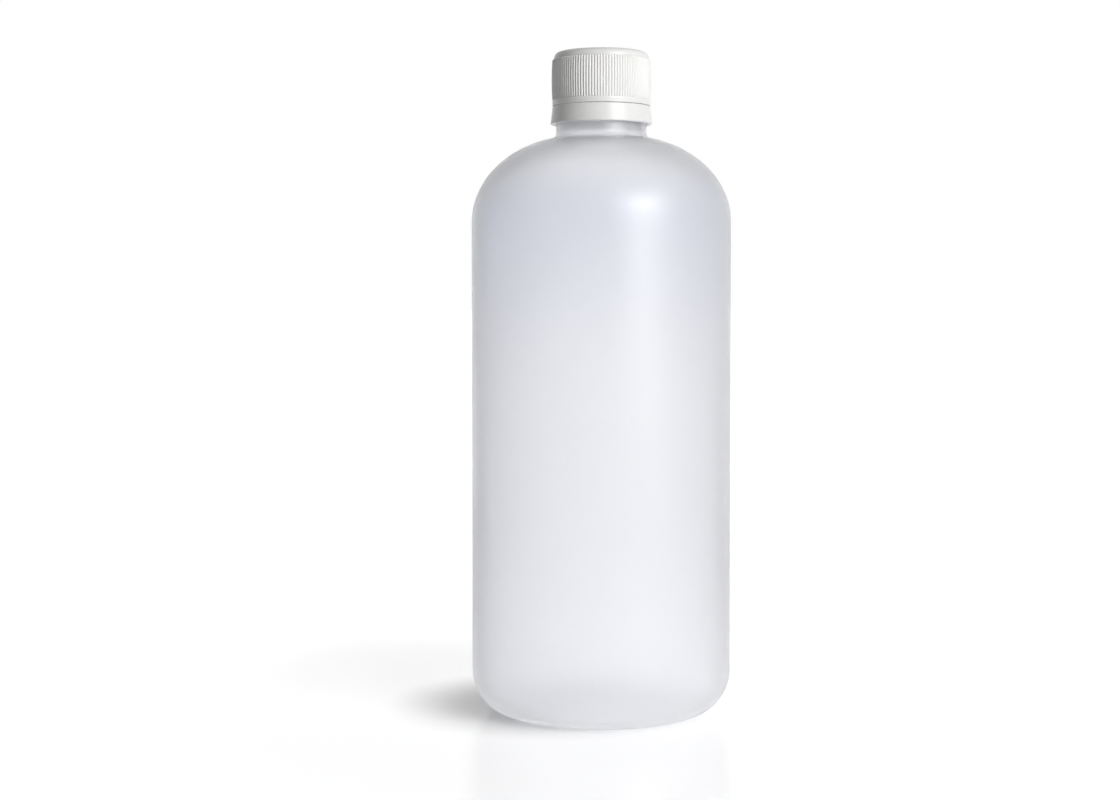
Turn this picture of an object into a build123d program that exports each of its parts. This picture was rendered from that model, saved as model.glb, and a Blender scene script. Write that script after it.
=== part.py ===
"""One-litre narrow-neck reagent bottle with a ribbed screw cap and a tamper ring, in millimetres.

The bottle is one blow-moulded shell: a domed base inside a flat standing ring, a straight barrel, an
elliptical shoulder, and a neck with a retaining bead and a single-start thread. The closure is a ribbed
cap, a sealing liner under its roof, and a tamper ring hung below its skirt by thin break bridges. The
ring's lip sits in a groove under the neck's bead, so the ring stays on the neck when the cap comes off.

Frame: +Z up along the bottle's axis, with the origin at the centre of the standing ring's flat face.
"""

import os
from math import acos, cos, degrees, sin, sqrt

from build123d import *

os.makedirs("parts", exist_ok=True)

# Driving dimensions.
barrel_radius = 44.0
barrel_top = 166.2
neck_radius = 15.2
bore_radius = 11.4
land_height = 220.3
cap_top = 223.5
thread_pitch = 4.0

# Bottle walls.
barrel_wall = 1.2
shoulder_wall = 1.5
neck_wall = 1.8
base_wall = 1.8

# Base: the heel is a quarter ellipse, and the dome is a shallow sphere inside the standing ring.
heel_reach = 12.8
heel_height = 14.8
standing_ring_width = 3.2
dome_rise = 4.0
pinch_seam_length = 44.0
pinch_seam_width = 1.0
pinch_seam_height = 0.5

# Shoulder: a quarter ellipse from the barrel's top, cut off where it meets the neck.
shoulder_reach = 35.2
shoulder_rise = 29.0
neck_root_fillet = 2.0

# Neck finish, from the column up to the sealing land.
column_top = 200.6
groove_radius = 14.3
bead_bottom = 202.2
bead_top = 203.4
bead_radius = 15.55
core_bottom = 205.2
core_radius = 13.3
land_chamfer = 0.5
bore_flare_bottom = 196.5
bore_bottom = 200.5

# Threads: the cap's ridge follows the neck's one at a fixed distance below it.
ridge_root_half = 0.95
ridge_crest_half = 0.45
ridge_sink = 0.4
neck_ridge_height = 1.2
neck_ridge_start = 211.9
neck_ridge_turns = 1.5
cap_ridge_height = 1.1
cap_ridge_turns = 1.25
cap_ridge_lag = 1.6

# Cap.
cap_bore_radius = 14.75
cap_roof = 1.7
skirt_bottom = 205.4
collar_radius = 16.6
collar_round = 0.3
crown_radius = 16.05
crown_round = 2.0
gate_radius = 1.5
gate_depth = 0.3
liner_bead_radius = 14.3
liner_bead_bottom = 219.0
liner_bead_top = 219.7

# Grip ribs around the cap, standing on a core a little smaller than the collar.
rib_count = 110
rib_bottom = 207.3
rib_top = 220.9
rib_core_radius = 16.45
rib_radius = 16.85
rib_root_width = 0.66
rib_crest_width = 0.36

# Liner.
liner_radius = 14.5

# Tamper ring and its break bridges.
ring_top = 205.05
ring_bottom = 199.2
ring_top_radius = 16.6
ring_waist = (16.86, 202.3)
ring_foot_radius = 17.3
ring_foot_round = 0.45
ring_inner_radius = 15.8
ring_mouth_radius = 15.65
lip_radius = 14.7
lip_bottom = 200.9
lip_top = 201.9
bridge_count = 12
bridge_width = 0.6
bridge_depth = 0.55
bridge_circle_radius = 16.15

# Sizes that follow from those above.
heel_centre = barrel_radius - heel_reach
standing_ring_inner = heel_centre - standing_ring_width
shoulder_centre = barrel_radius - shoulder_reach
column_bore = neck_radius - neck_wall
dome_radius = (standing_ring_inner**2 + dome_rise**2) / (2 * dome_rise)
dome_centre = dome_rise - dome_radius
roof_inner = cap_top - cap_roof


def dome_point(sphere_radius, radius):
    """The point of a sphere about the dome's centre at a radius from the bottle's axis."""
    return (radius, dome_centre + sqrt(sphere_radius**2 - radius**2))


def thread_ridge(wall_radius, height, start_z, turns):
    """A helical ridge on a cylinder: outwards for a positive height, inwards for a negative one."""
    sunk = -ridge_sink if height > 0 else ridge_sink
    with BuildPart() as ridge:
        with BuildLine():
            helix = Helix(thread_pitch, turns * thread_pitch, wall_radius, center=(0, 0, start_z))
        with BuildSketch(Plane(origin=helix @ 0, x_dir=(1, 0, 0), z_dir=helix % 0)):
            with BuildLine():
                Polyline(
                    (sunk, -ridge_root_half),
                    (0, -ridge_root_half),
                    (height, -ridge_crest_half),
                    (height, ridge_crest_half),
                    (0, ridge_root_half),
                    (sunk, ridge_root_half),
                    close=True,
                )
            make_face()
        sweep(path=helix, is_frenet=True)
    return ridge.part


neck_ridge = thread_ridge(core_radius, neck_ridge_height, neck_ridge_start, neck_ridge_turns)
cap_ridge = thread_ridge(
    cap_bore_radius, -cap_ridge_height, neck_ridge_start - cap_ridge_lag, cap_ridge_turns
)

with BuildPart() as bottle:
    # Outside.
    with BuildSketch(Plane.XZ) as outside:
        with BuildLine():
            dome = ThreePointArc(
                (0, dome_rise),
                dome_point(dome_radius, standing_ring_inner / 2),
                (standing_ring_inner, 0),
            )
            Line(dome @ 1, (heel_centre, 0))
            EllipticalCenterArc(
                (heel_centre, heel_height), heel_reach, heel_height, start_angle=270, arc_size=90
            )
            Line((barrel_radius, heel_height), (barrel_radius, barrel_top))
            shoulder = EllipticalCenterArc(
                (shoulder_centre, barrel_top),
                shoulder_reach,
                shoulder_rise,
                arc_size=degrees(acos((neck_radius - shoulder_centre) / shoulder_reach)),
            )
            Polyline(
                shoulder @ 1,
                (neck_radius, column_top),
                (groove_radius, column_top),
                (groove_radius, bead_bottom),
                (bead_radius, bead_bottom),
                (bead_radius, bead_top),
                (core_radius, core_bottom),
                (core_radius, land_height - land_chamfer),
                (core_radius - land_chamfer, land_height),
                (0, land_height),
                (0, dome_rise),
            )
        make_face()
        fillet(outside.vertices().sort_by_distance(shoulder @ 1)[0], neck_root_fillet)
    revolve(axis=Axis.Z)

    # Hollow, from the base's inner dome to the mouth.
    with BuildSketch(Plane.XZ):
        with BuildLine():
            inner_sphere = dome_radius + base_wall
            inner_dome_edge = sqrt(inner_sphere**2 - (base_wall - dome_centre) ** 2)
            inner_dome = ThreePointArc(
                (0, dome_rise + base_wall),
                dome_point(inner_sphere, inner_dome_edge / 2),
                (inner_dome_edge, base_wall),
            )
            Line(inner_dome @ 1, (heel_centre, base_wall))
            EllipticalCenterArc(
                (heel_centre, heel_height),
                heel_reach - barrel_wall,
                heel_height - base_wall,
                start_angle=270,
                arc_size=90,
            )
            Line(
                (barrel_radius - barrel_wall, heel_height), (barrel_radius - barrel_wall, barrel_top)
            )
            inner_shoulder = EllipticalCenterArc(
                (shoulder_centre, barrel_top),
                shoulder_reach - barrel_wall,
                shoulder_rise - shoulder_wall,
                arc_size=degrees(acos((column_bore - shoulder_centre) / (shoulder_reach - barrel_wall))),
            )
            Polyline(
                inner_shoulder @ 1,
                (column_bore, bore_flare_bottom),
                (bore_radius, bore_bottom),
                (bore_radius, land_height),
                (0, land_height),
                (0, dome_rise + base_wall),
            )
        make_face()
    revolve(axis=Axis.Z, mode=Mode.SUBTRACT)

    # Thread, and the pinched seam across the underside of the dome.
    add(neck_ridge)
    with BuildSketch(Plane.XZ):
        with BuildLine():
            seam_half = pinch_seam_length / 2
            seam_low = ThreePointArc(
                dome_point(dome_radius - pinch_seam_height, -seam_half),
                dome_point(dome_radius - pinch_seam_height, 0),
                dome_point(dome_radius - pinch_seam_height, seam_half),
            )
            seam_high = ThreePointArc(
                dome_point(dome_radius + pinch_seam_height, -seam_half),
                dome_point(dome_radius + pinch_seam_height, 0),
                dome_point(dome_radius + pinch_seam_height, seam_half),
            )
            Line(seam_low @ 0, seam_high @ 0)
            Line(seam_low @ 1, seam_high @ 1)
        make_face()
    extrude(amount=pinch_seam_width / 2, both=True)

with BuildPart() as cap:
    # Skirt, crown and roof.
    with BuildSketch(Plane.XZ) as cap_outline:
        with BuildLine():
            Polyline(
                (0, cap_top),
                (crown_radius, cap_top),
                (crown_radius, rib_top),
                (rib_core_radius, rib_top),
                (rib_core_radius, rib_bottom),
                (collar_radius, rib_bottom),
                (collar_radius, skirt_bottom),
                (cap_bore_radius, skirt_bottom),
                (cap_bore_radius, liner_bead_bottom),
                (liner_bead_radius, (liner_bead_bottom + liner_bead_top) / 2),
                (cap_bore_radius, liner_bead_top),
                (cap_bore_radius, roof_inner),
                (0, roof_inner),
                close=True,
            )
        make_face()
        fillet(cap_outline.vertices().sort_by_distance((crown_radius, cap_top))[0], crown_round)
        fillet(cap_outline.vertices().sort_by_distance((collar_radius, skirt_bottom))[0], collar_round)
    revolve(axis=Axis.Z)

    # Grip ribs.
    with BuildSketch(Plane.XY.offset(rib_bottom)):
        with BuildLine():
            Polyline(
                (rib_core_radius - ridge_sink, -rib_root_width / 2),
                (rib_core_radius, -rib_root_width / 2),
                (rib_radius, -rib_crest_width / 2),
                (rib_radius, rib_crest_width / 2),
                (rib_core_radius, rib_root_width / 2),
                (rib_core_radius - ridge_sink, rib_root_width / 2),
                close=True,
            )
        make_face()
    rib = extrude(amount=rib_top - rib_bottom, mode=Mode.PRIVATE)
    with PolarLocations(0, rib_count):
        add(rib)

    add(cap_ridge)
    with BuildSketch(Plane.XY.offset(cap_top)):
        Circle(gate_radius)
    extrude(amount=-gate_depth, mode=Mode.SUBTRACT)

with BuildPart() as liner:
    with BuildSketch(Plane.XY.offset(land_height)):
        Circle(liner_radius)
    extrude(amount=roof_inner - land_height)

with BuildPart() as tamper_ring:
    with BuildSketch(Plane.XZ) as ring_outline:
        with BuildLine():
            flare = ThreePointArc(
                (ring_top_radius, ring_top), ring_waist, (ring_foot_radius, ring_bottom)
            )
            Polyline(
                flare @ 1,
                (ring_mouth_radius, ring_bottom),
                (ring_mouth_radius, lip_bottom),
                (lip_radius, lip_bottom),
                (lip_radius, lip_top),
                (ring_inner_radius, lip_top),
                (ring_inner_radius, ring_top),
                flare @ 0,
            )
        make_face()
        fillet(ring_outline.vertices().sort_by_distance(flare @ 1)[0], ring_foot_round)
    revolve(axis=Axis.Z)

with BuildPart() as bridges:
    with BuildSketch(Plane.XY.offset(ring_top)):
        with PolarLocations(bridge_circle_radius, bridge_count):
            Rectangle(bridge_depth, bridge_width)
    extrude(amount=skirt_bottom - ring_top)

bottle.part.label = "bottle"
export_step(bottle.part, "parts/bottle.step")

cap.part.label = "cap"
export_step(cap.part, "parts/cap.step")

liner.part.label = "liner"
export_step(liner.part, "parts/liner.step")

tamper_ring.part.label = "tamper_ring"
export_step(tamper_ring.part, "parts/tamper_ring.step")

bridges.part.label = "bridges"
export_step(bridges.part, "parts/bridges.step")
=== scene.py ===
"""Looks of a one-litre plastic reagent bottle: a milky blow-moulded shell, a ribbed screw cap with its foam
liner, and the tamper ring with its break bridges, in a plain pale studio.

All lengths are in metres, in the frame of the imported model: +Z up, origin under the bottle on its axis.
"""

import logging
from abc import ABC, abstractmethod
from collections.abc import Sequence
from dataclasses import dataclass, field
from enum import Enum
from math import acos, asin, atan2, cos, pi, radians, sin, tan, tau

import bpy
import numpy as np
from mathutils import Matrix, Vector


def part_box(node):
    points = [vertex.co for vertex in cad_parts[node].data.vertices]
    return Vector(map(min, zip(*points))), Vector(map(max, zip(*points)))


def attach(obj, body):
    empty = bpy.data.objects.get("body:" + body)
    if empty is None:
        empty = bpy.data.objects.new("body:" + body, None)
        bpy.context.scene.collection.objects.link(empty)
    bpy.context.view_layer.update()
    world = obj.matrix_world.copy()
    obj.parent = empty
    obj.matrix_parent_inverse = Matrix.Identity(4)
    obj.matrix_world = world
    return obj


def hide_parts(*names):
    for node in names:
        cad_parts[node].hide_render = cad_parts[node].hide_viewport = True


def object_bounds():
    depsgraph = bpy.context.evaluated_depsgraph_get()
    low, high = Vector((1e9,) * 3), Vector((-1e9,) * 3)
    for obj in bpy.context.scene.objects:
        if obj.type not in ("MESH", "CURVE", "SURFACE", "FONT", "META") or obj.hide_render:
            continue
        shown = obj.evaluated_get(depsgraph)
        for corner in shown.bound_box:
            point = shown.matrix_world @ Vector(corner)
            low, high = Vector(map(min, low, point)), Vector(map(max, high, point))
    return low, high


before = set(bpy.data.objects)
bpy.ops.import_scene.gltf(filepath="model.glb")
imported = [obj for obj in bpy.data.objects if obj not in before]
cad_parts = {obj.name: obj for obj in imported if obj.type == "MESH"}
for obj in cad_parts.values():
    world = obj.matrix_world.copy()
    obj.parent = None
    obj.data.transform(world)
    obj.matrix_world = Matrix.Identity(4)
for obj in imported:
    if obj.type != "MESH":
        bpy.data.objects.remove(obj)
CAD_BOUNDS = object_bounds()

log = logging.getLogger("reagent_bottle")

SHARP_ANGLE = radians(60.0)
SAME_POINT = 1e-7

Array = np.ndarray
Colour = tuple[float, float, float]
Sockets = dict[str | int, object]


# ---------------------------------------------------------------------------------------------- shader maths


class Signal:
    """A shader socket that can be used in arithmetic: each operator adds one Math node."""

    def __init__(self, shader: "Shader", socket: bpy.types.NodeSocket | None) -> None:
        """Wraps a socket.

        Args:
            shader: The shader whose tree the socket is in.
            socket: The output socket to carry, or None for a node that has no output.
        """
        self.shader = shader
        self.socket = socket

    def math(self, operation: str, *others: "Signal | float") -> "Signal":
        """Adds a Math node that has this signal as its first value.

        Args:
            operation: The Math node's operation.
            others: The node's other values.

        Returns:
            The node's result.
        """
        return self.shader.add("ShaderNodeMath", {"operation": operation}, dict(enumerate((self, *others))))

    def __add__(self, other: "Signal | float") -> "Signal":
        """Sum."""
        return self.math("ADD", other)

    __radd__ = __add__

    def __mul__(self, other: "Signal | float") -> "Signal":
        """Product."""
        return self.math("MULTIPLY", other)

    __rmul__ = __mul__

    def __sub__(self, other: "Signal | float") -> "Signal":
        """Difference."""
        return self.math("SUBTRACT", other)

    def __rsub__(self, other: "Signal | float") -> "Signal":
        """Difference with this signal on the right."""
        return self.math("MULTIPLY_ADD", -1.0, other)

    def __truediv__(self, other: "Signal | float") -> "Signal":
        """Quotient."""
        return self.math("DIVIDE", other)

    def __pow__(self, other: "Signal | float") -> "Signal":
        """Power."""
        return self.math("POWER", other)

    def between(self, low: float, high: float) -> "Signal":
        """Rises smoothly from 0 at low to 1 at high."""
        settings = {"interpolation_type": "SMOOTHSTEP"}
        inputs = {"Value": self, "From Min": low, "From Max": high, "To Min": 0.0, "To Max": 1.0}
        return self.shader.add("ShaderNodeMapRange", settings, inputs)


class Shader:
    """The node tree of one material or of the world."""

    def __init__(self, tree: bpy.types.NodeTree) -> None:
        """Empties a tree.

        Args:
            tree: The node tree to fill.
        """
        tree.nodes.clear()
        self.tree = tree

    def add(
        self,
        kind: str,
        settings: dict[str, object] | None = None,
        inputs: Sockets | None = None,
        output: str | int = 0,
    ) -> Signal:
        """Adds one node.

        Args:
            kind: The node's type.
            settings: Its settings, set before its sockets.
            inputs: Its sockets, by name or number, with a value or a signal each.
            output: The output socket to return.

        Returns:
            The output socket as a signal, which carries no socket if the node has no output.
        """
        node = self.tree.nodes.new(kind)
        for name, value in (settings or {}).items():
            setattr(node, name, value)
        for name, value in (inputs or {}).items():
            if isinstance(value, Signal):
                self.tree.links.new(value.socket, node.inputs[name])
            else:
                node.inputs[name].default_value = value
        return Signal(self, node.outputs[output] if len(node.outputs) else None)

    def place(self) -> Signal:
        """The point's place in the frame."""
        return self.add("ShaderNodeTexCoord", output="Object")

    def axes(self, place: Signal) -> list[Signal]:
        """The three parts of a place or a direction, along X, Y and Z."""
        return [self.add("ShaderNodeSeparateXYZ", inputs={0: place}, output=axis) for axis in range(3)]

    def noise(self, place: Signal, scale: float, detail: float = 2.0, roughness: float = 0.5) -> Signal:
        """Cloudy noise.

        Args:
            place: The coordinates to read.
            scale: Clouds to a metre.
            detail: Octaves.
            roughness: How strong the finer octaves are.

        Returns:
            A value about 0.5.
        """
        inputs = {"Vector": place, "Scale": scale, "Detail": detail, "Roughness": roughness}
        return self.add("ShaderNodeTexNoise", inputs=inputs)

    def blend(self, share: Signal | float, first: object, second: object) -> Signal:
        """Mixes two colours.

        Args:
            share: How much of the second.
            first: A colour or a signal of one.
            second: The same.

        Returns:
            The mixed colour.
        """
        settings = {"data_type": "RGBA"}
        ends = {6: first, 7: second}
        inputs = {0: share} | {
            number: end if isinstance(end, Signal) else (*end, 1.0) for number, end in ends.items()
        }
        return self.add("ShaderNodeMix", settings, inputs, output=2)

    def bump(self, height: Signal, strength: float, distance: float) -> Signal:
        """Turns a height into a normal.

        Args:
            height: Relief, 0 to 1.
            strength: How much of it shows.
            distance: Height of the relief, in metres.

        Returns:
            The bent normal.
        """
        return self.add(
            "ShaderNodeBump", inputs={"Height": height, "Strength": strength, "Distance": distance}
        )


# -------------------------------------------------------------------------------------------------- finishes


class Finish(ABC):
    """A finish whose surface is one Principled shader."""

    name: str

    @abstractmethod
    def surface(self, shader: Shader) -> Sockets:
        """The Principled sockets of the finish.

        Args:
            shader: The material's empty shader.

        Returns:
            The sockets' values and signals.
        """

    def material(self) -> bpy.types.Material:
        """Makes a material of the finish."""
        material = bpy.data.materials.new(self.name)
        material.use_nodes = True
        shader = Shader(material.node_tree)
        principled = shader.add("ShaderNodeBsdfPrincipled", inputs=self.surface(shader))
        shader.add("ShaderNodeOutputMaterial", inputs={"Surface": principled})
        return material


@dataclass(frozen=True)
class MilkyPolyethylene(Finish):
    """Natural HDPE of a blow-moulded wall: it glows with the light behind it and has a faint orange peel.

    The wall's body bends light little and scatters it widely, under a clear skin that gives the highlights.
    Its base colour carries painted shade, cooler and darker on the shoulder where it turns away from the
    light, and painted light, whiter at the neck. A faint glow of its own is painted light carried through
    the wall.
    """

    name: str = "milky_polyethylene"
    barrel_tint: Colour = (0.912, 0.916, 0.940)
    # Painted shade on the shoulder and painted light at the neck, blended into the base colour by height.
    shoulder_painted_shade_tint: Colour = (0.835, 0.850, 0.896)
    neck_painted_light_tint: Colour = (0.95, 0.955, 0.975)
    shoulder_shade_start: float = 0.110
    shoulder_shade_end: float = 0.178
    neck_light_start: float = 0.170
    neck_light_end: float = 0.190
    clearness: float = 0.85
    # Painted glow: a faint emission that stands in for light carried through the wall.
    painted_glow: float = 0.03
    skin_weight: float = 1.0
    skin_roughness: float = 0.36
    skin_refraction: float = 1.5
    scatter_depth: float = 0.0025
    scatter_colour: Colour = (1.0, 1.0, 1.0)
    roughness: float = 0.55
    refraction: float = 1.15
    peel_pitch: float = 0.0016
    peel_height: float = 0.00004
    peel_strength: float = 0.6
    cloud_scale: float = 18.0
    cloud_height: float = 0.02
    cloud_roughness: float = 0.1

    def surface(self, shader: Shader) -> Sockets:
        """The Principled sockets of the plastic.

        Args:
            shader: The material's empty shader.

        Returns:
            The sockets' values and signals.
        """
        place = shader.place()
        cloud = shader.noise(place, self.cloud_scale) - 0.5
        height = shader.axes(place)[2] + self.cloud_height * cloud
        # Painted shade: darker, bluer base colour over the shoulder; painted light: whiter base colour at
        # the neck.
        shoulder = height.between(self.shoulder_shade_start, self.shoulder_shade_end)
        neck = height.between(self.neck_light_start, self.neck_light_end)
        wall = shader.blend(shoulder, self.barrel_tint, self.shoulder_painted_shade_tint)
        peel = shader.noise(place, 1 / self.peel_pitch, detail=1.5, roughness=0.4)
        return {
            "Base Color": shader.blend(neck, wall, self.neck_painted_light_tint),
            "Roughness": self.roughness + self.cloud_roughness * cloud,
            "IOR": self.refraction,
            "Transmission Weight": self.clearness,
            "Subsurface Weight": 1.0,
            "Subsurface Radius": self.scatter_colour,
            "Subsurface Scale": self.scatter_depth,
            "Normal": shader.bump(peel, self.peel_strength, self.peel_height),
            "Coat Weight": self.skin_weight,
            "Coat Roughness": self.skin_roughness,
            "Coat IOR": self.skin_refraction,
            # Painted glow in the wall's own tint.
            "Emission Color": (*self.barrel_tint, 1.0),
            "Emission Strength": self.painted_glow,
        }


@dataclass(frozen=True)
class GlossPolypropylene(Finish):
    """Opaque white polypropylene of an injection-moulded closure, warm white and half glossy."""

    name: str = "gloss_polypropylene"
    light_tint: Colour = (0.845, 0.845, 0.83)
    deep_tint: Colour = (0.815, 0.815, 0.797)
    roughness: float = 0.27
    refraction: float = 1.36
    flow_scale: float = 60.0
    grain_scale: float = 2500.0
    grain_roughness: float = 0.06
    grain_strength: float = 0.1
    grain_height: float = 0.00001

    def surface(self, shader: Shader) -> Sockets:
        """The Principled sockets of the plastic.

        Args:
            shader: The material's empty shader.

        Returns:
            The sockets' values and signals.
        """
        place = shader.place()
        flow = shader.noise(place, self.flow_scale).between(0.3, 0.7)
        grain = shader.noise(place, self.grain_scale, roughness=0.6)
        return {
            "Base Color": shader.blend(flow, self.deep_tint, self.light_tint),
            "Roughness": self.roughness + self.grain_roughness * (grain - 0.5),
            "IOR": self.refraction,
            "Normal": shader.bump(grain, self.grain_strength, self.grain_height),
        }


@dataclass(frozen=True)
class ClosedCellFoam(Finish):
    """White expanded polyethylene foam with a skin of small closed cells, with painted shade towards each
    cell's sunken edge.
    """

    name: str = "closed_cell_foam"
    cell_tint: Colour = (0.90, 0.90, 0.88)
    # Painted shade where the cell edges sink.
    hollow_shade_tint: Colour = (0.80, 0.80, 0.78)
    cell_size: float = 0.0004
    cell_depth: float = 0.00008
    cell_strength: float = 0.7
    cell_core: float = 0.2
    cell_edge: float = 0.7
    roughness: float = 0.7
    wall_roughness: float = 0.15
    refraction: float = 1.45

    def surface(self, shader: Shader) -> Sockets:
        """The Principled sockets of the foam.

        Args:
            shader: The material's empty shader.

        Returns:
            The sockets' values and signals.
        """
        inputs = {"Vector": shader.place(), "Scale": 1 / self.cell_size}
        cell = shader.add("ShaderNodeTexVoronoi", inputs=inputs, output="Distance")
        wall = cell.between(self.cell_core, self.cell_edge)
        return {
            # Painted shade: the colour darkens where the bump sinks the cell edges.
            "Base Color": shader.blend(wall, self.cell_tint, self.hollow_shade_tint),
            "Roughness": self.roughness + self.wall_roughness * wall,
            "IOR": self.refraction,
            "Normal": shader.bump(1 - wall, self.cell_strength, self.cell_depth),
        }


@dataclass(frozen=True)
class LightTable(Finish):
    """Matt white floor with a thin sheen, lit from below apart from a dim patch at the object's left side,
    which is a painted shadow.

    The camera sees a glow that keeps the floor white and dims in the patch, as painted shadow. All other
    rays see a pool of light round the object's foot and a wide glow behind it, which light the object from
    below.
    """

    name: str = "light_table"
    tint: Colour = (0.60, 0.60, 0.605)
    roughness: float = 0.22
    refraction: float = 1.45
    # Centre offset and soft edge of the painted shadow.
    painted_shadow_left: float = 0.016
    painted_shadow_back: float = 0.010
    painted_shadow_start: float = 0.022
    painted_shadow_end: float = 0.062
    # Glow in the painted shadow's core, and outside it.
    near_glow: float = 0.0
    middle_glow: float = 0.48
    far_glow: float = 0.71
    far_start: float = 0.1
    far_end: float = 0.3
    pool_glow: float = 0.62
    pool_start: float = 0.1
    pool_end: float = 0.5
    back_glow: float = 0.60
    back_start: float = 0.1
    back_end: float = 0.6

    def surface(self, shader: Shader) -> Sockets:
        """The Principled sockets of the paint.

        Args:
            shader: The material's empty shader.

        Returns:
            The sockets' values and signals.
        """
        x, y, _ = shader.axes(shader.place())
        away = (x * x + y * y) ** 0.5
        # Painted shadow: the glow that the camera sees dims in a patch left of and behind the object's foot.
        painted_shadow_x = x + self.painted_shadow_left
        painted_shadow_y = y - self.painted_shadow_back
        patch = ((painted_shadow_x * painted_shadow_x + painted_shadow_y * painted_shadow_y) ** 0.5).between(self.painted_shadow_start, self.painted_shadow_end)
        middle = self.near_glow + (self.middle_glow - self.near_glow) * patch
        far = (self.far_glow - self.middle_glow) * away.between(self.far_start, self.far_end)
        pool = self.pool_glow * (1 - away.between(self.pool_start, self.pool_end))
        back = self.back_glow * y.between(self.back_start, self.back_end)
        seen = shader.add("ShaderNodeLightPath", output="Is Camera Ray")
        glow = (middle + far) * seen + (pool + back) * (1 - seen)
        return {
            "Base Color": (*self.tint, 1.0),
            "Roughness": self.roughness,
            "IOR": self.refraction,
            "Emission Color": shader.blend(glow, (0.0, 0.0, 0.0), (1.0, 1.0, 1.0)),
            "Emission Strength": 1.0,
        }


# -------------------------------------------------------------------------------------------------- surfaces


class Body(Enum):
    """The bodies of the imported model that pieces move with."""

    BOTTLE = "bottle_body"
    CAP = "cap_body"
    LINER = "liner_body"
    RING = "ring_body"


class Slot(Enum):
    """The record's material slots."""

    BOTTLE = "bottle_hdpe"
    CLOSURE = "cap_pp"
    LINER = "liner_foam"


def straight(start: Sequence[float], end: Sequence[float], steps: int = 1) -> Array:
    """Points along a straight line: start + share × (end − start), for even shares from 0 to 1.

    Args:
        start: The first radius and height.
        end: The last radius and height.
        steps: How many spans.

    Returns:
        The points, a radius and a height each.
    """
    return np.linspace(start, end, steps + 1)


def bend(centre: Sequence[float], reach: Sequence[float], begin: float, end: float, steps: int) -> Array:
    """Points along an elliptical arc: centre + reach × (cosine, sine) of even angles from begin to end.

    Args:
        centre: The ellipse's centre, a radius and a height.
        reach: The half widths along the radius and the height.
        begin: The first angle, in radians from the outward direction.
        end: The last angle.
        steps: How many spans.

    Returns:
        The points, a radius and a height each.
    """
    angle = np.linspace(begin, end, steps + 1)
    return np.array(centre) + np.array(reach) * np.stack([np.cos(angle), np.sin(angle)], axis=1)


def rounded(corners: Sequence[tuple[float, float, float]], steps: int = 4) -> Array:
    """Points along a line of straight runs with rounded corners.

    A corner's arc touches both of its runs, so it starts at rounding / tan(half the corner's angle) from the
    corner, and its centre lies on the corner's bisector.

    Args:
        corners: A radius, a height and a rounding radius each; the two ends have no rounding.
        steps: How many spans a rounded corner gets.

    Returns:
        The points, a radius and a height each.
    """
    points = [np.array(corners[0][:2])]
    for before, (radius, height, rounding), after in zip(corners, corners[1:], corners[2:]):
        corner = np.array((radius, height))
        if not rounding:
            points.append(corner)
            continue
        back = np.array(before[:2]) - corner
        on = np.array(after[:2]) - corner
        back /= np.linalg.norm(back)
        on /= np.linalg.norm(on)
        half = acos(np.clip(back @ on, -1.0, 1.0)) / 2
        bisector = (back + on) / np.linalg.norm(back + on)
        centre = corner + bisector * rounding / sin(half)
        spoke_in = corner + back * rounding / tan(half) - centre
        spoke_out = corner + on * rounding / tan(half) - centre
        begin = atan2(spoke_in[1], spoke_in[0])
        turn = (atan2(spoke_out[1], spoke_out[0]) - begin + pi) % tau - pi
        points.extend(bend(centre, (rounding, rounding), begin, begin + turn, steps))
    points.append(np.array(corners[-1][:2]))
    return np.array(points)


def chain(*stretches: Array) -> Array:
    """Joins stretches of a profile end to end, without the points that two of them share.

    Args:
        stretches: The stretches, in order.

    Returns:
        The whole profile.
    """
    points = np.concatenate(stretches)
    moved = np.linalg.norm(np.diff(points, axis=0), axis=1) > SAME_POINT
    return points[np.concatenate([[True], moved])]


def facing_of(profile: Array) -> Array:
    """Unit normals of a profile: its direction turned a quarter turn clockwise.

    Args:
        profile: The points, a radius and a height each.

    Returns:
        A normal for each point, a radius and a height each.
    """
    way = np.gradient(profile, axis=0)
    way /= np.linalg.norm(way, axis=1, keepdims=True)
    return np.stack([way[:, 1], -way[:, 0]], axis=1)


def even_angles(count: int) -> Array:
    """Even angles round the axis, from 0."""
    return np.arange(count) * tau / count


def smooth_step(value: Array | float) -> Array:
    """Rises from 0 at 0 to 1 at 1 as 3 v² − 2 v³, and is level outside."""
    held = np.clip(value, 0.0, 1.0)
    return held * held * (3 - 2 * held)


def turned(profile: Array, angles: Array, proud: Array | float = 0.0) -> Array:
    """A surface of revolution: a point is the profile's, moved along its normal and turned round the axis.

    Args:
        profile: The points, a radius and a height each.
        angles: The angles round the axis.
        proud: How far each point of the surface stands off the profile, profile by angle.

    Returns:
        The surface's points, profile by angle by coordinate.
    """
    facing = facing_of(profile)[:, None, :]
    reach = profile[:, None, :] + facing * np.broadcast_to(proud, (len(profile), len(angles)))[..., None]
    radius, height = reach[..., 0], reach[..., 1]
    return np.stack([radius * np.cos(angles), radius * np.sin(angles), height], axis=-1)


def band(lower: Array, upper: Array) -> Array:
    """Faces between two rings of vertices, where one ring may have a whole multiple of the other's.

    Each face joins one run of the lower ring to the run of the upper ring beside it, and a ring of one
    vertex is a pole.

    Args:
        lower: Vertex numbers of the first ring.
        upper: Vertex numbers of the second ring.

    Returns:
        The faces' vertex numbers, a row for each face.
    """
    count = min(len(ring) for ring in (lower, upper) if len(ring) > 1)

    def runs(ring: Array) -> Array:
        """Splits a ring into count runs that share their ends."""
        if len(ring) == 1:
            return np.full((count, 1), ring[0])
        step = len(ring) // count
        starts = np.arange(count)[:, None] * step
        return ring[(starts + np.arange(step + 1)) % len(ring)]

    return np.hstack([runs(lower), runs(upper)[:, ::-1]])


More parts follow.
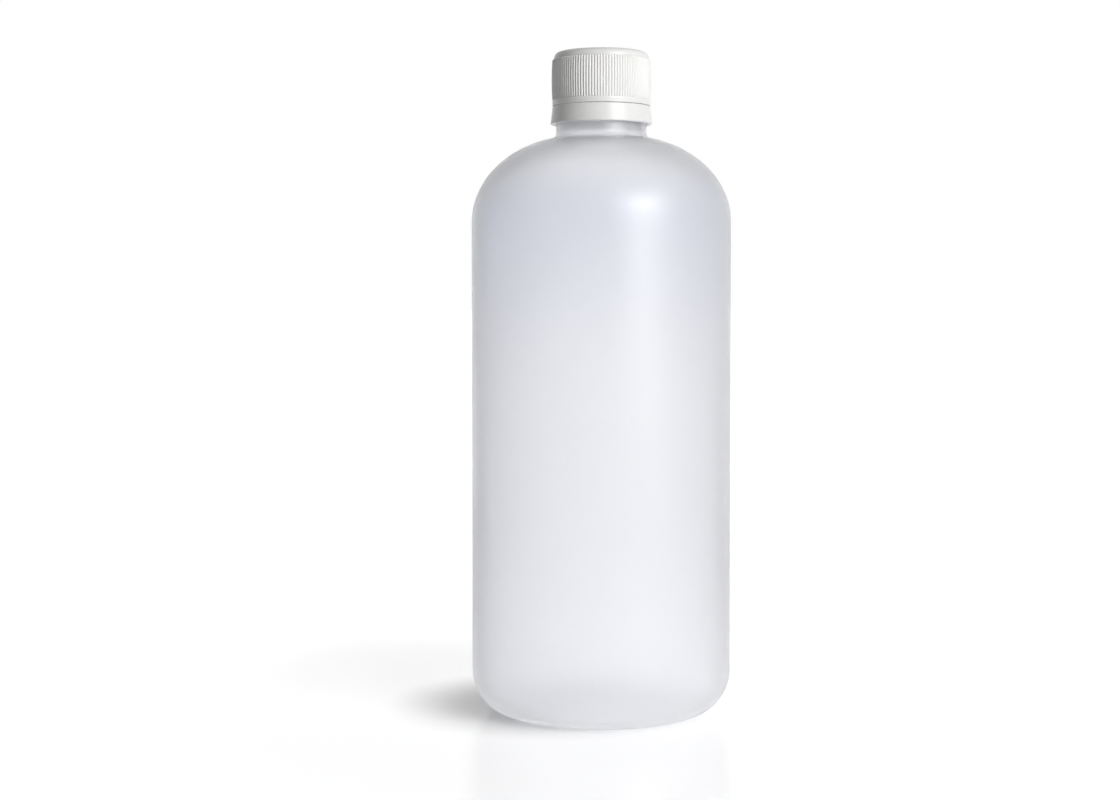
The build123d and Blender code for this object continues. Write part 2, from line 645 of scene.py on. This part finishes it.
def skin(name: str, rings: Sequence[Array], looped: bool = False) -> bpy.types.Object:
    """Makes a closed mesh of rings of points, smooth apart from its sharp edges.

    Args:
        name: The piece's name.
        rings: The rings in order, each points by coordinate, with one point at a pole.
        looped: Whether the last ring joins the first.

    Returns:
        The piece, in the scene.
    """
    sizes = [len(ring) for ring in rings]
    first = np.concatenate([[0], np.cumsum(sizes)])
    numbers = [np.arange(size) + start for size, start in zip(sizes, first)]
    pairs = list(zip(numbers, numbers[1:]))
    if looped:
        pairs.append((numbers[-1], numbers[0]))
    return solid(name, np.concatenate(rings), [band(lower, upper) for lower, upper in pairs])


def solid(name: str, points: Array, faces: Sequence[Array]) -> bpy.types.Object:
    """Puts points and faces into a mesh object.

    Args:
        name: The piece's name.
        points: The vertices, by coordinate.
        faces: Arrays of vertex numbers, each with a row for each face.

    Returns:
        The piece, in the scene.
    """
    corners = np.concatenate([group.ravel() for group in faces])
    counts = np.concatenate([np.full(len(group), group.shape[1]) for group in faces])
    mesh = bpy.data.meshes.new(name)
    mesh.vertices.add(len(points))
    mesh.vertices.foreach_set("co", points.astype(np.float32).ravel())
    mesh.loops.add(len(corners))
    mesh.loops.foreach_set("vertex_index", corners.astype(np.int32))
    mesh.polygons.add(len(counts))
    mesh.polygons.foreach_set("loop_start", (np.cumsum(counts) - counts).astype(np.int32))
    mesh.update(calc_edges=True)
    mesh.validate()
    mesh.shade_smooth()
    mesh.set_sharp_from_angle(angle=SHARP_ANGLE)
    piece = bpy.data.objects.new(name, mesh)
    bpy.context.scene.collection.objects.link(piece)
    return piece


def pole(height: float) -> Array:
    """A ring of one point on the axis."""
    return np.array([[0.0, 0.0, height]])


def finish_piece(
    piece: bpy.types.Object, material: bpy.types.Material, body: Body, node: str
) -> bpy.types.Object:
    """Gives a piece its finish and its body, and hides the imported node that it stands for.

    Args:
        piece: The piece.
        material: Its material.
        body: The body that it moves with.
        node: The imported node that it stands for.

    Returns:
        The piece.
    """
    piece.data.materials.append(material)
    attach(piece, body.value)
    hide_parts(node)
    log.info("%s: %d faces on %s", piece.name, len(piece.data.polygons), body.value)
    return piece


# ---------------------------------------------------------------------------------------------------- pieces


@dataclass(frozen=True)
class Thread:
    """A single-start right-hand ridge round a wall, with ends that run out smoothly."""

    wall: float
    height: float
    start: float
    turns: float
    pitch: float = 0.004
    root_half: float = 0.00095
    crest_half: float = 0.00045
    run_out: float = radians(24.0)

    def top(self) -> float:
        """The height where the ridge ends."""
        return self.start + self.turns * self.pitch + self.root_half

    def bottom(self) -> float:
        """The height where the ridge begins."""
        return self.start - self.root_half

    def stretch(self, row_pitch: float) -> Array:
        """The wall's profile along the ridge, from its bottom up to its top.

        Args:
            row_pitch: The distance between rows of points.

        Returns:
            The points, a radius and a height each.
        """
        rows = round((self.top() - self.bottom()) / row_pitch)
        return straight((self.wall, self.bottom()), (self.wall, self.top()), rows)

    def relief(self, heights: Array, angles: Array) -> Array:
        """How far the ridge stands off its wall.

        The ridge's centre line rises by the pitch in a turn. A point's distance from the nearest turn, along
        the axis, gives a flat crest and sloping flanks, and both ends fade over the run-out.

        Args:
            heights: The heights of the wall's points.
            angles: The angles round the axis.

        Returns:
            The relief, height by angle.
        """
        rise = (heights[:, None] - self.start) / self.pitch
        turn = angles[None, :] / tau
        along = (turn + np.round(rise - turn)) * tau
        apart = np.abs(rise - along / tau) * self.pitch
        faded = smooth_step(along / self.run_out) * smooth_step((self.turns * tau - along) / self.run_out)
        flank = (self.root_half - apart) / (self.root_half - self.crest_half)
        return self.height * faded * smooth_step(flank)


@dataclass(frozen=True)
class BottleShell:
    """The blow-moulded shell: base, barrel, shoulder and neck finish, with its wall and its mould seams."""

    barrel_top: float = 0.1662
    wall: float = 0.0012
    base_wall: float = 0.0018
    heel_reach: float = 0.0128
    heel_height: float = 0.0148
    standing_width: float = 0.0032
    standing_round: float = 0.0015
    dome_rise: float = 0.0040
    outer_pole_gap: float = 0.012
    inner_pole_gap: float = 0.02
    shoulder_reach: float = 0.0352
    shoulder_rise: float = 0.0290
    shoulder_wall: float = 0.0015
    neck_radius: float = 0.0152
    neck_wall: float = 0.0018
    neck_blend: float = 0.0022
    column_top: float = 0.2006
    groove_radius: float = 0.0143
    bead_bottom: float = 0.2022
    bead_top: float = 0.2034
    bead_radius: float = 0.01555
    core_bottom: float = 0.2052
    core_radius: float = 0.0133
    bore_radius: float = 0.0114
    flare_bottom: float = 0.1965
    bore_bottom: float = 0.2005
    land_width: float = 0.001
    land_round: float = 0.0005
    mouth_round: float = 0.0003
    bore_round: float = 0.002
    flare_round: float = 0.001
    edge: float = 0.00018
    row_pitch: float = 0.0001
    columns: int = 192
    seam_offsets: tuple[float, ...] = (0.0015, 0.003, 0.006, 0.012, 0.02)
    seam_height: float = 0.00007
    seam_half: float = 0.003
    seam_fade: float = 0.002
    pinch_height: float = 0.0005
    pinch_half_width: float = 0.0005
    pinch_half_length: float = 0.022
    pinch_fade: float = 0.002

    def thread(self) -> Thread:
        """The neck's thread."""
        return Thread(wall=self.core_radius, height=0.0012, start=0.2119, turns=1.5)

    def build(self, finish: MilkyPolyethylene) -> bpy.types.Object:
        """Makes the shell.

        Args:
            finish: The plastic.

        Returns:
            The piece.
        """
        low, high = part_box("bottle")
        radius, land = min(high.x, -low.x) - self.seam_height, high.z
        outside = self._outside(radius, land)
        inside = self._inside(radius, land)
        angles = self._angles()
        outer = turned(outside, angles, self._outer_relief(outside, angles))
        inner = turned(inside, angles)
        centre_ridge = self.dome_rise - self.pinch_height
        rings = [pole(centre_ridge), *outer, *inner, pole(self.dome_rise + self.base_wall)]
        piece = skin("bottle_shell", rings)
        return finish_piece(piece, finish.material(), Body.BOTTLE, "bottle")

    def _dome(self, radius: float) -> tuple[float, float, float]:
        """The base's measures.

        The dome is a part of a sphere. One that rises by r over a circle of radius c has a sphere of radius
        (c² + r²) / 2 r.

        Args:
            radius: The barrel's radius.

        Returns:
            The radius where the heel starts, the radius where the dome starts, and the sphere's radius.
        """
        heel_centre = radius - self.heel_reach
        ring_inner = heel_centre - self.standing_width
        return heel_centre, ring_inner, (ring_inner**2 + self.dome_rise**2) / (2 * self.dome_rise)

    def _angles(self) -> Array:
        """Even angles with closer ones at the mould seams, which are at +X and −X."""
        near = np.array(self.seam_offsets)
        extra = [side + sign * near for side in (0.0, pi) for sign in (1, -1)]
        return np.sort(np.concatenate([even_angles(self.columns), *extra]) % tau)

    def _outside(self, radius: float, land: float) -> Array:
        """The outer profile, from the dome's middle under the base to the land of the mouth.

        Args:
            radius: The barrel's radius.
            land: The height of the mouth.

        Returns:
            The profile's points.
        """
        heel_centre, ring_inner, sphere = self._dome(radius)
        dome_end = pi / 2 - asin(ring_inner / sphere) + self.standing_round / sphere
        dome_start = pi / 2 - self.outer_pole_gap
        dome = bend((0, self.dome_rise - sphere), (sphere, sphere), dome_start, dome_end, 26)
        shoulder_centre = radius - self.shoulder_reach
        cut = acos((self.neck_radius + self.neck_blend - shoulder_centre) / self.shoulder_reach)
        shoulder = bend(
            (shoulder_centre, self.barrel_top), (self.shoulder_reach, self.shoulder_rise), 0.0, cut, 44
        )
        foot_height = self.barrel_top + self.shoulder_rise * sin(
            acos((self.neck_radius - shoulder_centre) / self.shoulder_reach)
        )
        thread = self.thread()
        edge = self.edge
        return chain(
            dome,
            rounded([(*dome[-1], 0), (ring_inner, 0, self.standing_round), (heel_centre, 0, 0)], 5),
            bend((heel_centre, self.heel_height), (self.heel_reach, self.heel_height), -pi / 2, 0.0, 26),
            straight((radius, self.heel_height), (radius, self.barrel_top), 12),
            shoulder,
            rounded(
                [
                    (*shoulder[-1], 0),
                    (self.neck_radius, foot_height, self.neck_blend * 0.9),
                    (self.neck_radius, self.column_top, edge),
                    (self.groove_radius, self.column_top, edge),
                    (self.groove_radius, self.bead_bottom, edge),
                    (self.bead_radius, self.bead_bottom, edge),
                    (self.bead_radius, self.bead_top, 2 * edge),
                    (self.core_radius, self.core_bottom, 2 * edge),
                    (self.core_radius, thread.bottom(), 0),
                ]
            ),
            thread.stretch(self.row_pitch),
            rounded(
                [
                    (self.core_radius, thread.top(), 0),
                    (self.core_radius, land, self.land_round),
                    (self.core_radius - self.land_width, land, 0),
                ],
                5,
            ),
        )

    def _inside(self, radius: float, land: float) -> Array:
        """The inner profile, from the land of the mouth down to the middle of the base.

        Args:
            radius: The barrel's radius.
            land: The height of the mouth.

        Returns:
            The profile's points.
        """
        heel_centre, _, sphere = self._dome(radius)
        inner_sphere = sphere + self.base_wall
        centre = self.dome_rise - sphere
        dome_start = pi / 2 - acos((self.base_wall - centre) / inner_sphere)
        dome_end = pi / 2 - self.inner_pole_gap
        column_bore = self.neck_radius - self.neck_wall
        shoulder_centre = radius - self.shoulder_reach
        reach = self.shoulder_reach - self.wall
        cut = acos((column_bore + self.neck_blend - shoulder_centre) / reach)
        rise = self.shoulder_rise - self.shoulder_wall
        shoulder = bend((shoulder_centre, self.barrel_top), (reach, rise), cut, 0.0, 36)
        foot_height = self.barrel_top + rise * sin(acos((column_bore - shoulder_centre) / reach))
        inner_radius = radius - self.wall
        heel_inner = (self.heel_reach - self.wall, self.heel_height - self.base_wall)
        return chain(
            rounded(
                [
                    (self.core_radius - self.land_width, land, 0),
                    (self.bore_radius, land, self.mouth_round),
                    (self.bore_radius, self.bore_bottom, self.bore_round),
                    (column_bore, self.flare_bottom, self.flare_round),
                    (column_bore, foot_height, self.neck_blend * 0.8),
                    (*shoulder[0], 0),
                ],
                5,
            ),
            shoulder,
            straight((inner_radius, self.barrel_top), (inner_radius, self.heel_height), 8),
            bend((heel_centre, self.heel_height), heel_inner, 0.0, -pi / 2, 20),
            bend((0, centre), (inner_sphere, inner_sphere), dome_start, dome_end, 14),
        )

    def _outer_relief(self, profile: Array, angles: Array) -> Array:
        """What stands off the outer profile: the thread, the mould's parting seam and the pinched seam.

        The parting seam is a low ridge on both sides of the mould's parting plane. The pinched seam runs
        across the dome along X, rounded across its width and faded at its two ends.

        Args:
            profile: The outer profile.
            angles: The angles round the axis.

        Returns:
            The relief, profile by angle.
        """
        radius, height = profile[:, :1], profile[:, 1:]
        off_seam = np.abs((angles + pi / 2) % pi - pi / 2)[None, :]
        walled = smooth_step((height - self.heel_height / 4) / self.seam_fade) * (height < self.column_top)
        parting = self.seam_height * walled * np.clip(1 - off_seam / self.seam_half, 0.0, 1.0)
        across = np.abs(radius * np.sin(angles)) / self.pinch_half_width
        along = np.abs(radius * np.cos(angles))
        domed = (radius < self.pinch_half_length) & (height < self.heel_height)
        ends = smooth_step((self.pinch_half_length - along) / self.pinch_fade)
        pinch = self.pinch_height * domed * ends * np.sqrt(np.clip(1 - across**2, 0.0, 1.0))
        return self.thread().relief(profile[:, 1], angles) + parting + pinch


@dataclass(frozen=True)
class ScrewCap:
    """The ribbed cap: crown, grip ribs, collar, and a threaded bore with a bead that holds the liner."""

    roof: float = 0.0017
    bore: float = 0.01475
    collar_radius: float = 0.0166
    collar_round: float = 0.00012
    mouth_round: float = 0.00025
    mouth_width: float = 0.0008
    corner: float = 0.0002
    roof_hub: float = 0.002
    crown_radius: float = 0.01605
    crown_round: float = 0.0020
    crown_width: float = 0.003
    rib_bottom: float = 0.2073
    rib_top: float = 0.2209
    rib_depth: float = 0.00027
    rib_end_reach: float = 0.01662
    rib_middle_reach: float = 0.01684
    rib_end: float = 0.00035
    rib_end_shares: tuple[float, ...] = (0.0, 0.12, 0.35, 0.65, 1.0)
    rib_rows: int = 12
    rib_foot_round: float = 0.00006
    rib_head_round: float = 0.00008
    rib_half_root: float = 0.40
    rib_flank: float = 0.27
    rib_count: int = 110
    rib_samples: int = 8
    inner_share: int = 4
    gate_radius: float = 0.0015
    gate_depth: float = 0.0003
    gate_slope: float = 0.0002
    gate_floor: float = 0.0004
    top_ring: float = 0.0034
    bead_radius: float = 0.0143
    bead_bottom: float = 0.2190
    bead_top: float = 0.2197
    bead_root: float = 0.0001
    bead_round: float = 0.00025
    row_pitch: float = 0.0001

    def thread(self) -> Thread:
        """The cap's thread, which runs just under the neck's."""
        return Thread(wall=self.bore, height=0.0011, start=0.2103, turns=1.25, crest_half=0.00040)

    def build(self, finish: GlossPolypropylene) -> bpy.types.Object:
        """Makes the cap.

        Args:
            finish: The plastic.

        Returns:
            The piece.
        """
        low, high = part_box("cap")
        fine = even_angles(self.rib_count * self.rib_samples)
        coarse = fine[:: self.inner_share]
        roof_inner = high.z - self.roof
        inside = self._inside(low.z, roof_inner)
        relief = self.thread().relief(inside[:, 1], coarse)
        outside, ribbed = self._outside(low.z, high.z)
        proud = ribbed[:, None] * self._comb(fine)[None, :]
        rings = [
            pole(roof_inner),
            *turned(inside, coarse, relief),
            *turned(outside, fine, proud),
            *turned(self._roof_top(high.z), coarse),
            pole(high.z - self.gate_depth),
        ]
        piece = skin("cap_shell", rings)
        return finish_piece(piece, finish.material(), Body.CAP, "cap")

    def _inside(self, bottom: float, roof_inner: float) -> Array:
        """The inner profile, from beside the axis under the roof down to the skirt's bottom edge.

        Args:
            bottom: The height of the skirt's bottom.
            roof_inner: The height of the roof's underside.

        Returns:
            The profile's points.
        """
        thread = self.thread()
        bead_middle = (self.bead_bottom + self.bead_top) / 2
        return chain(
            rounded(
                [
                    (self.roof_hub, roof_inner, 0),
                    (self.bore, roof_inner, self.corner),
                    (self.bore, self.bead_top, self.bead_root),
                    (self.bead_radius, bead_middle, self.bead_round),
                    (self.bore, self.bead_bottom, self.bead_root),
                    (self.bore, thread.top(), 0),
                ]
            ),
            thread.stretch(self.row_pitch)[::-1],
            rounded(
                [
                    (self.bore, thread.bottom(), 0),
                    (self.bore, bottom, self.mouth_round),
                    (self.bore + self.mouth_width, bottom, 0),
                ]
            ),
        )

    def _outside(self, bottom: float, top: float) -> tuple[Array, Array]:
        """The outer profile, from the skirt's bottom edge up to the roof, and how far the ribs stand off it.

        The ribbed wall bulges as a half sine between its ends, and the ribs come in over a short quarter
        round at both ends.

        Args:
            bottom: The height of the skirt's bottom.
            top: The height of the roof.

        Returns:
            The profile's points, and the ribs' relief at each.
        """
        below = rounded(
            [
                (self.bore + self.mouth_width, bottom, 0),
                (self.collar_radius, bottom, self.collar_round),
                (self.collar_radius, self.rib_bottom, self.rib_foot_round),
                (self.rib_end_reach - self.rib_depth, self.rib_bottom, 0),
            ]
        )
        end_rows = np.array(self.rib_end_shares) * self.rib_end
        foot_rows = self.rib_bottom + end_rows
        head_rows = (self.rib_top - end_rows)[::-1]
        middle = np.linspace(foot_rows[-1], head_rows[0], self.rib_rows)[1:-1]
        heights = np.concatenate([foot_rows, middle, head_rows])
        share = (heights - self.rib_bottom) / (self.rib_top - self.rib_bottom)
        reach = self.rib_end_reach + (self.rib_middle_reach - self.rib_end_reach) * np.sin(pi * share)
        from_end = np.minimum(heights - self.rib_bottom, self.rib_top - heights) / self.rib_end
        come_in = np.sqrt(1 - (1 - np.clip(from_end, 0.0, 1.0)) ** 2)
        zone = np.stack([reach - self.rib_depth, heights], axis=1)
        above = rounded(
            [
                (self.rib_end_reach - self.rib_depth, self.rib_top, 0),
                (self.crown_radius, self.rib_top, self.rib_head_round),
                (self.crown_radius, top, self.crown_round),
                (self.crown_radius - self.crown_width, top, 0),
            ],
            8,
        )
        profile = np.concatenate([below[:-1], zone, above[1:]])
        ribbed = np.zeros(len(profile))
        ribbed[len(below) - 1 : len(below) - 1 + len(zone)] = self.rib_depth * come_in
        return profile, ribbed

    def _comb(self, angles: Array) -> Array:
        """The ribs' cross-section round the cap: 1 on each rib's crest and 0 in the valleys between them.

        Args:
            angles: The angles round the axis.

        Returns:
            The share of the ribs' height at each angle.
        """
        off_crest = np.abs((angles * self.rib_count / tau + 0.5) % 1.0 - 0.5)
        return smooth_step((self.rib_half_root - off_crest) / self.rib_flank)

    def _roof_top(self, top: float) -> Array:
        """The roof's flat top and the small dish that the moulding gate leaves in its middle.

        Args:
            top: The height of the roof.

        Returns:
            The profile's points, from the crown's rounding inwards.
        """
        dish = top - self.gate_depth
        return rounded(
            [
                (self.crown_radius - self.top_ring, top, 0),
                (self.gate_radius + self.gate_slope, top, self.corner),
                (self.gate_radius - self.gate_slope, dish, self.corner),
                (self.gate_floor, dish, 0),
            ]
        )


@dataclass(frozen=True)
class SealingLiner:
    """The foam disc under the cap's roof, with the ring that the bottle's mouth has pressed into it."""

    edge: float = 0.0003
    print_inner: float = 0.0112
    print_outer: float = 0.0132
    print_depth: float = 0.00012
    print_soft: float = 0.0004
    print_margin: float = 0.0006
    hub: float = 0.0006
    columns: int = 192

    def build(self, finish: ClosedCellFoam) -> bpy.types.Object:
        """Makes the disc.

        Args:
            finish: The foam.

        Returns:
            The piece.
        """
        low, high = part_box("liner")
        radius = (high.x - low.x) / 2
        print_start = self.print_inner - self.print_margin
        print_end = self.print_outer + self.print_margin
        under = chain(
            straight((self.hub, low.z), (print_start, low.z), 14),
            straight((print_start, low.z), (print_end, low.z), 16),
        )
        rim = rounded(
            [
                (print_end, low.z, 0),
                (radius, low.z, self.edge),
                (radius, high.z, self.edge),
                (self.hub, high.z, 0),
            ]
        )
        under[:, 1] += self._print(under[:, 0])
        angles = even_angles(self.columns)
        rings = [pole(low.z), *turned(chain(under, rim), angles), pole(high.z)]
        piece = skin("liner_disc", rings)
        return finish_piece(piece, finish.material(), Body.LINER, "liner")

    def _print(self, radii: Array) -> Array:
        """How deep the mouth's ring is pressed in: a flat-bottomed groove with soft sides.

        Args:
            radii: Distances from the axis.

        Returns:
            The depth at each.
        """
        inner = smooth_step((radii - self.print_inner + self.print_soft) / self.print_soft)
        outer = smooth_step((self.print_outer + self.print_soft - radii) / self.print_soft)
        return self.print_depth * inner * outer


@dataclass(frozen=True)
class TamperRing:
    """The band that stays on the neck: flared outside, with a lip inside that sits in the neck's groove."""

    top_radius: float = 0.0166
    waist: tuple[float, float] = (0.01686, 0.2023)
    foot_round: float = 0.00045
    top_round: float = 0.00020
    top_lift: float = 0.00013
    inner_radius: float = 0.0158
    mouth_radius: float = 0.01565
    mouth_width: float = 0.0004
    lip_radius: float = 0.0147
    lip_bottom: float = 0.2009
    lip_top: float = 0.2019
    edge: float = 0.00012
    foot_radius: float = 0.0173
    columns: int = 256

    def build(self, finish: GlossPolypropylene) -> bpy.types.Object:
        """Makes the ring.

        Args:
            finish: The plastic.

        Returns:
            The piece.
        """
        low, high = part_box("tamper_ring")
        profile = self._profile(low.z, high.z + self.top_lift)
        rings = list(turned(profile, even_angles(self.columns)))
        piece = skin("tamper_band", rings, looped=True)
        return finish_piece(piece, finish.material(), Body.RING, "tamper_ring")

    def _profile(self, bottom: float, top: float) -> Array:
        """The ring's closed profile: up the flared outside, and down the bore over the lip.

        The flare is a parabola through the foot, the waist and the top.

        Args:
            bottom: The height of the ring's foot.
            top: The height of its upper edge.

        Returns:
            The profile's points, without a repeat of the first.
        """
        heights = np.linspace(bottom + 2 * self.foot_round, top - 2 * self.top_round, 14)
        known = [bottom, self.waist[1], top]
        curve = np.polyfit(known, [self.foot_radius, self.waist[0], self.top_radius], 2)
        flare = np.stack([np.polyval(curve, heights), heights], axis=1)
        foot = rounded(
            [
                (self.mouth_radius + self.mouth_width, bottom, 0),
                (self.foot_radius, bottom, self.foot_round),
                (*flare[0], 0),
            ],
            8,
        )
        edge = self.edge
        inner = rounded(
            [
                (*flare[-1], 0),
                (self.top_radius, top, self.top_round),
                (self.inner_radius, top, self.top_round),
                (self.inner_radius, self.lip_top, edge),
                (self.lip_radius, self.lip_top, 2 * edge),
                (self.lip_radius, self.lip_bottom, 3 * edge),
                (self.mouth_radius, self.lip_bottom, edge),
                (self.mouth_radius, bottom, 2 * edge),
                (self.mouth_radius + self.mouth_width, bottom, 0),
            ]
        )
        return chain(foot, flare, inner)[:-1]


@dataclass(frozen=True)
class BreakBridges:
    """The thin bars between the ring and the skirt, narrowest in the middle, where they break."""

    count: int = 12
    circle: float = 0.01615
    width: float = 0.0006
    depth: float = 0.00055
    waist: float = 0.55
    rows: int = 7
    sides: int = 8

    def build(self, finish: GlossPolypropylene) -> bpy.types.Object:
        """Makes the bars as one piece.

        A bar's section is an oval that shrinks to the waist at mid height as a cosine. Its copies are turned
        evenly round the axis.

        Args:
            finish: The plastic.

        Returns:
            The piece.
        """
        low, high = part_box("bridges")
        rise = np.linspace(-1.0, 1.0, self.rows)
        size = 1 - (1 - self.waist) * np.cos(rise * pi / 2) ** 2
        angle = even_angles(self.sides) + pi / self.sides
        radial = self.circle + self.depth / 2 * size[:, None] * np.cos(angle)
        sideways = self.width / 2 * size[:, None] * np.sin(angle)
        height = (low.z + high.z) / 2 + (high.z - low.z) / 2 * rise[:, None]
        turn = even_angles(self.count)[:, None, None]
        points = np.stack(
            [
                radial * np.cos(turn) - sideways * np.sin(turn),
                radial * np.sin(turn) + sideways * np.cos(turn),
                np.broadcast_to(height, (self.count, self.rows, self.sides)),
            ],
            axis=-1,
        )
        numbers = np.arange(points[..., 0].size).reshape(self.count, self.rows, self.sides)
        walls = [band(bar[row], bar[row + 1]) for bar in numbers for row in range(self.rows - 1)]
        ends = [numbers[:, 0, ::-1], numbers[:, -1]]
        piece = solid("break_bridges", points.reshape(-1, 3), [*walls, *ends])
        return finish_piece(piece, finish.material(), Body.RING, "bridges")


# ---------------------------------------------------------------------------------------------------- studio


@dataclass
class Softbox:
    """A rectangular soft light that faces the object.

    The bearing is measured from the camera's side towards +X, and the elevation above the bench.
    """

    name: str
    bearing: float
    elevation: float
    distance: float
    width: float
    height: float
    watts: float

    def build(self, target: Vector) -> bpy.types.Object:
        """Makes the light.

        Args:
            target: The point that the light faces.

        Returns:
            The light's object.
        """
        light = bpy.data.lights.new(self.name, "AREA")
        light.shape = "RECTANGLE"
        light.size = self.width
        light.size_y = self.height
        light.energy = self.watts
        lamp = bpy.data.objects.new(self.name, light)
        turn, rise = radians(self.bearing), radians(self.elevation)
        way = Vector((sin(turn) * cos(rise), -cos(turn) * cos(rise), sin(rise)))
        lamp.location = target + way * self.distance
        lamp.rotation_euler = way.to_track_quat("Z", "Y").to_euler()
        bpy.context.scene.collection.objects.link(lamp)
        return lamp


@dataclass
class Studio:
    """The pale floor, the softbox, the surroundings and the camera."""

    eye: Vector = field(default_factory=lambda: Vector((-0.0140, -0.655, 0.1394)))
    lens: float = 61.9
    tilt: float = 2.0
    frame_shift: float = -0.028
    floor_reach: float = 30.0
    gloom: float = 0.05
    backdrop_glow: float = 0.96
    backdrop_edge: float = 0.2
    backdrop_full: float = 0.7
    backdrop_fade: float = 0.9
    fade_start: float = 0.15
    fade_end: float = 0.85
    overhead_glow: float = 0.24
    overhead_start: float = 0.3
    key: Softbox = field(
        default_factory=lambda: Softbox(
            "key_softbox", bearing=37.0, elevation=21.5, distance=1.1, width=0.58, height=0.60, watts=9.9
        )
    )

    def build(self) -> None:
        """Makes everything around the object."""
        bpy.context.scene.view_settings.view_transform = "Standard"
        self._floor()
        self._surroundings()
        self._camera()
        low, high = CAD_BOUNDS
        self.key.build((low + high) / 2)

    def _floor(self) -> None:
        """Lays the floor at the height of the bottle's base."""
        reach = self.floor_reach
        corners = [(-reach, -reach, 0), (reach, -reach, 0), (reach, reach, 0), (-reach, reach, 0)]
        mesh = bpy.data.meshes.new("floor")
        mesh.from_pydata(corners, [], [(0, 1, 2, 3)])
        mesh.materials.append(LightTable().material())
        floor = bpy.data.objects.new("floor", mesh)
        bpy.context.scene.collection.objects.link(floor)

    def _surroundings(self) -> None:
        """Fills the room with soft light: a backdrop behind the object, a dim ceiling, and gloom elsewhere.

        The backdrop's light grows with the direction's Y part and fades with its height. The camera itself
        sees plain white all round.
        """
        world = bpy.data.worlds.new("studio")
        bpy.context.scene.world = world
        world.use_nodes = True
        shader = Shader(world.node_tree)
        _, y, z = shader.axes(shader.add("ShaderNodeTexCoord", output="Generated"))
        fade = 1 - self.backdrop_fade * z.between(self.fade_start, self.fade_end)
        backdrop = y.between(self.backdrop_edge, self.backdrop_full) * fade
        overhead = z.between(self.overhead_start, 1.0)
        glow = self.gloom + backdrop * self.backdrop_glow + overhead * self.overhead_glow
        seen = shader.add("ShaderNodeLightPath", output="Is Camera Ray")
        strength = glow * (1 - seen) + seen
        white = (1.0, 1.0, 1.0, 1.0)
        lit = shader.add("ShaderNodeBackground", inputs={"Color": white, "Strength": strength})
        shader.add("ShaderNodeOutputWorld", inputs={"Surface": lit})

    def _camera(self) -> None:
        """Places the camera: nearly level, a little to the left of the bottle's axis."""
        data = bpy.data.cameras.new("camera")
        data.lens = self.lens
        data.sensor_width = 36.0
        data.shift_y = self.frame_shift
        data.clip_start = 0.01
        data.clip_end = 100.0
        camera = bpy.data.objects.new("camera", data)
        camera.location = self.eye
        camera.rotation_euler = (radians(90.0 - self.tilt), 0.0, 0.0)
        bpy.context.scene.collection.objects.link(camera)
        bpy.context.scene.camera = camera


def main() -> None:
    """Builds the studio and every piece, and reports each."""
    Studio().build()
    white = GlossPolypropylene()
    BottleShell().build(MilkyPolyethylene())
    ScrewCap().build(white)
    SealingLiner().build(ClosedCellFoam())
    TamperRing().build(white)
    BreakBridges().build(white)


if __name__ == "__main__":
    logging.basicConfig(level=logging.INFO, format="%(name)s: %(message)s")
    main()
